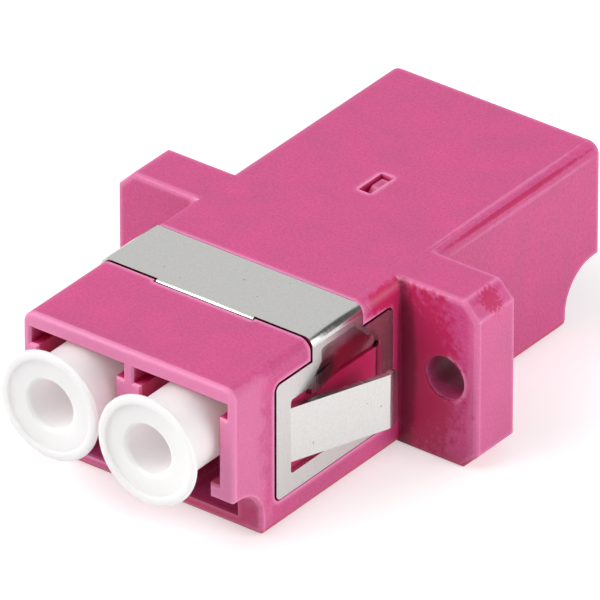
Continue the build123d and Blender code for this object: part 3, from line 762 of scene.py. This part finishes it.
class ADAPTER_OT_dust_caps(Operator):
    """Turn one dust cap and copy it into the other port"""
    bl_idname = "adapter.dust_caps"
    bl_label = "Dust caps"

    def turned_cap(self, settings, length):
        """Extrudes a ring along the cap's profile, about the Y axis, with its rim at y = 0."""
        bpy.ops.object.select_all(action="DESELECT")
        rim = settings.disc_diameter / 2
        stem = settings.stem_diameter / 2
        bore = settings.bore_diameter / 2
        inner_rim = rim - settings.rim_width
        rear_bore = settings.rear_bore_diameter / 2
        lead, rim_slope, rim_corner, back_slope = 0.15 * MM, 0.03 * MM, 0.045 * MM, 0.1 * MM
        steps = [
            (bore, settings.bore_depth),
            (bore, settings.face_recess + lead),
            (bore + lead, settings.face_recess),
            (inner_rim, settings.face_recess),
            (inner_rim + rim_slope, 0.0),
            (rim - lead, 0.0),
            (rim - rim_corner, rim_corner),
            (rim, lead),
            (rim, settings.disc_thickness - back_slope),
            (rim - back_slope, settings.disc_thickness),
            (stem, settings.disc_thickness + settings.flare_length),
            (stem, length - lead),
            (stem - lead, length),
            (rear_bore, length),
            (rear_bore, length - settings.rear_bore_depth),
        ]
        radius, depth = steps[0]
        bpy.ops.mesh.primitive_circle_add(
            vertices=settings.sides, radius=radius, fill_type="NGON",
            location=(0.0, depth, 0.0), rotation=(math.pi / 2, 0.0, 0.0))
        cap = bpy.context.active_object
        bpy.ops.object.transform_apply(location=True, rotation=True, scale=True)
        bpy.ops.object.mode_set(mode="EDIT")
        bpy.ops.mesh.select_mode(type="EDGE")
        bpy.ops.mesh.select_all(action="SELECT")
        bpy.ops.mesh.region_to_loop()
        for next_radius, next_depth in steps[1:]:
            bpy.ops.mesh.extrude_edges_move(
                TRANSFORM_OT_translate={"value": (0.0, next_depth - depth, 0.0)})
            scale = next_radius / radius
            if abs(scale - 1.0) > 1e-6:
                bpy.ops.transform.resize(
                    value=(scale, 1.0, scale), center_override=(0.0, next_depth, 0.0))
            radius, depth = next_radius, next_depth
        bpy.ops.mesh.edge_face_add()
        bpy.ops.mesh.select_all(action="SELECT")
        bpy.ops.mesh.normals_make_consistent(inside=False)
        bpy.ops.object.mode_set(mode="OBJECT")
        return cap

    def execute(self, context):
        settings = context.scene.adapter_caps
        plastic = white_plastic()
        low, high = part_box("dust_cap_left")
        cap = self.turned_cap(settings, high.y - low.y)
        add_modifier(
            cap, "BEVEL", width=settings.edge_softness, segments=2, limit_method="ANGLE",
            angle_limit=math.radians(40), use_clamp_overlap=True)
        smooth(cap)
        for side in ("left", "right"):
            low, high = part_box("dust_cap_" + side)
            mesh = cap.data.copy()
            mesh.transform(Matrix.Translation(((low.x + high.x) / 2, low.y, (low.z + high.z) / 2)))
            piece = bpy.data.objects.new("dust_cap_" + side + "_turned", mesh)
            context.scene.collection.objects.link(piece)
            finish_piece(piece, side + "_cap", "cap_plastic", plastic, "dust_cap_" + side)
        bpy.data.objects.remove(cap)
        return {"FINISHED"}


# Stage

# Places and sizes in metres, and the matt floor's grey and glow
FLOOR_SIZE, FLOOR_DROP = 3.0, 0.01 * MM
FLOOR_GREY, FLOOR_GLOW = 0.82, 0.45
KEY_PLACE, KEY_SIZE = (-0.25, -0.27, 0.34), 0.45
SIDE_PLACE, SIDE_SIZE = (0.46, 0.06, 0.17), 0.30
CAMERA_AIM = Vector((0.217 * MM, 0.0, 1.221 * MM))
# What shiny pieces mirror of the surround: its strength, and a darker round zone in one
# direction, with the angles from its middle between which it fades
MIRRORED_STRENGTH, ZONE_STRENGTH = 1.1, 0.12
ZONE_DIRECTION = (0.56, 0.682, 0.47)
ZONE_INNER, ZONE_OUTER = math.radians(26.0), math.radians(33.0)


class ADAPTER_OT_stage(Operator):
    """Lay the pale floor, hang the soft lamps and set the camera"""
    bl_idname = "adapter.stage"
    bl_label = "Stage"

    def floor(self, low):
        """A matt floor just under the adapter, which glows where it is seen or mirrored."""
        bpy.ops.object.select_all(action="DESELECT")
        bpy.ops.mesh.primitive_plane_add(size=FLOOR_SIZE, location=(0.0, 0.0, low.z - FLOOR_DROP))
        floor = bpy.context.active_object
        floor.name = "pale_floor"
        material = bpy.data.materials.new("Pale floor")
        material.use_nodes = True
        tree = material.node_tree
        tree.nodes.clear()
        path = node(tree, "ShaderNodeLightPath")
        matt = node(tree, "ShaderNodeBsdfDiffuse")
        matt.inputs["Color"].default_value = (FLOOR_GREY, FLOOR_GREY, FLOOR_GREY, 1.0)
        glow = node(tree, "ShaderNodeEmission")
        glow.inputs["Color"].default_value = (1.0, 1.0, 1.0, 1.0)
        glow.inputs["Strength"].default_value = FLOOR_GLOW
        seen = node(tree, "ShaderNodeMath", operation="MAXIMUM")
        both = node(tree, "ShaderNodeAddShader")
        pick = node(tree, "ShaderNodeMixShader")
        out = node(tree, "ShaderNodeOutputMaterial")
        link = tree.links.new
        link(path.outputs["Is Camera Ray"], seen.inputs[0])
        link(path.outputs["Is Glossy Ray"], seen.inputs[1])
        link(matt.outputs["BSDF"], both.inputs[0])
        link(glow.outputs["Emission"], both.inputs[1])
        link(seen.outputs["Value"], pick.inputs[0])
        link(matt.outputs["BSDF"], pick.inputs[1])
        link(both.outputs["Shader"], pick.inputs[2])
        link(pick.outputs["Shader"], out.inputs["Surface"])
        floor.data.materials.append(material)

    def lamp(self, name, place, size, power):
        """A soft square lamp that points at the adapter."""
        light = bpy.data.lights.new(name, "AREA")
        light.energy = power
        light.shape = "SQUARE"
        light.size = size
        lamp = bpy.data.objects.new(name, light)
        bpy.context.scene.collection.objects.link(lamp)
        lamp.location = place
        lamp.rotation_euler = (-Vector(place)).to_track_quat("-Z", "Y").to_euler()

    def surround(self, strength):
        """A pale surround that is white to the camera and has one darker zone in reflections."""
        world = bpy.data.worlds.new("Pale surround")
        bpy.context.scene.world = world
        world.use_nodes = True
        tree = world.node_tree
        tree.nodes.clear()
        path = node(tree, "ShaderNodeLightPath")
        place = node(tree, "ShaderNodeTexCoord")
        towards = node(tree, "ShaderNodeVectorMath", operation="DOT_PRODUCT")
        towards.inputs[1].default_value = ZONE_DIRECTION
        zone = node(tree, "ShaderNodeMapRange", clamp=True, interpolation_type="SMOOTHSTEP")
        zone.inputs["From Min"].default_value = math.cos(ZONE_OUTER)
        zone.inputs["From Max"].default_value = math.cos(ZONE_INNER)
        zone.inputs["To Min"].default_value = MIRRORED_STRENGTH
        zone.inputs["To Max"].default_value = ZONE_STRENGTH
        mirrored = node(tree, "ShaderNodeMapRange")
        mirrored.inputs["To Min"].default_value = strength
        level = node(tree, "ShaderNodeMapRange")
        level.inputs["To Max"].default_value = 1.0
        back = node(tree, "ShaderNodeBackground")
        out = node(tree, "ShaderNodeOutputWorld")
        link = tree.links.new
        link(place.outputs["Generated"], towards.inputs[0])
        link(towards.outputs["Value"], zone.inputs["Value"])
        link(path.outputs["Is Glossy Ray"], mirrored.inputs["Value"])
        link(zone.outputs["Result"], mirrored.inputs["To Max"])
        link(path.outputs["Is Camera Ray"], level.inputs["Value"])
        link(mirrored.outputs["Result"], level.inputs["To Min"])
        link(level.outputs["Result"], back.inputs["Strength"])
        link(back.outputs["Background"], out.inputs["Surface"])

    def camera(self, settings):
        """A long lens from the photograph's direction."""
        data = bpy.data.cameras.new("Studio camera")
        data.sensor_width = 36.0
        data.lens = settings.lens
        data.clip_start, data.clip_end = 0.01, 20.0
        camera = bpy.data.objects.new("Studio camera", data)
        bpy.context.scene.collection.objects.link(camera)
        turn, lift = settings.azimuth, settings.elevation
        back = Vector((math.sin(turn) * math.cos(lift), -math.cos(turn) * math.cos(lift), math.sin(lift)))
        camera.location = CAMERA_AIM + back * settings.distance
        camera.rotation_euler = (-back).to_track_quat("-Z", "Y").to_euler()
        bpy.context.scene.camera = camera

    def execute(self, context):
        settings = context.scene.adapter_stage
        low, high = CAD_BOX
        self.floor(low)
        self.surround(settings.world_strength)
        self.lamp("Key lamp", KEY_PLACE, KEY_SIZE, settings.key_power)
        self.lamp("Side lamp", SIDE_PLACE, SIDE_SIZE, settings.fill_power)
        self.camera(settings)
        context.scene.view_settings.view_transform = "Standard"
        return {"FINISHED"}


class ADAPTER_PT_panel(Panel):
    """Sizes, colours and steps of the adapter"""
    bl_idname = "ADAPTER_PT_panel"
    bl_label = "Fibre Optic Adapter"
    bl_space_type = "VIEW_3D"
    bl_region_type = "UI"
    bl_category = "Adapter"

    def draw(self, context):
        for operators, group in STEPS:
            box = self.layout.box()
            for operator in operators:
                box.operator(operator.bl_idname)
            settings = getattr(context.scene, group)
            for name in settings.__annotations__:
                box.prop(settings, name)


STEPS = (
    ((ADAPTER_OT_housing, ADAPTER_OT_sleeves), "adapter_housing"),
    ((ADAPTER_OT_spring_clip,), "adapter_clip"),
    ((ADAPTER_OT_dust_caps,), "adapter_caps"),
    ((ADAPTER_OT_stage,), "adapter_stage"),
)
GROUPS = {
    "adapter_housing": ADAPTER_PG_housing,
    "adapter_clip": ADAPTER_PG_clip,
    "adapter_caps": ADAPTER_PG_caps,
    "adapter_stage": ADAPTER_PG_stage,
}
OPERATORS = tuple(operator for operators, group in STEPS for operator in operators)
CLASSES = (*GROUPS.values(), *OPERATORS, ADAPTER_PT_panel)


def register():
    for cls in CLASSES:
        bpy.utils.register_class(cls)
    for name, group in GROUPS.items():
        setattr(bpy.types.Scene, name, PointerProperty(type=group))


def unregister():
    for name in GROUPS:
        delattr(bpy.types.Scene, name)
    for cls in reversed(CLASSES):
        bpy.utils.unregister_class(cls)


def main():
    register()
    bpy.ops.adapter.housing()
    bpy.ops.adapter.sleeves()
    bpy.ops.adapter.spring_clip()
    bpy.ops.adapter.dust_caps()
    bpy.ops.adapter.stage()


if __name__ == "__main__":
    main()
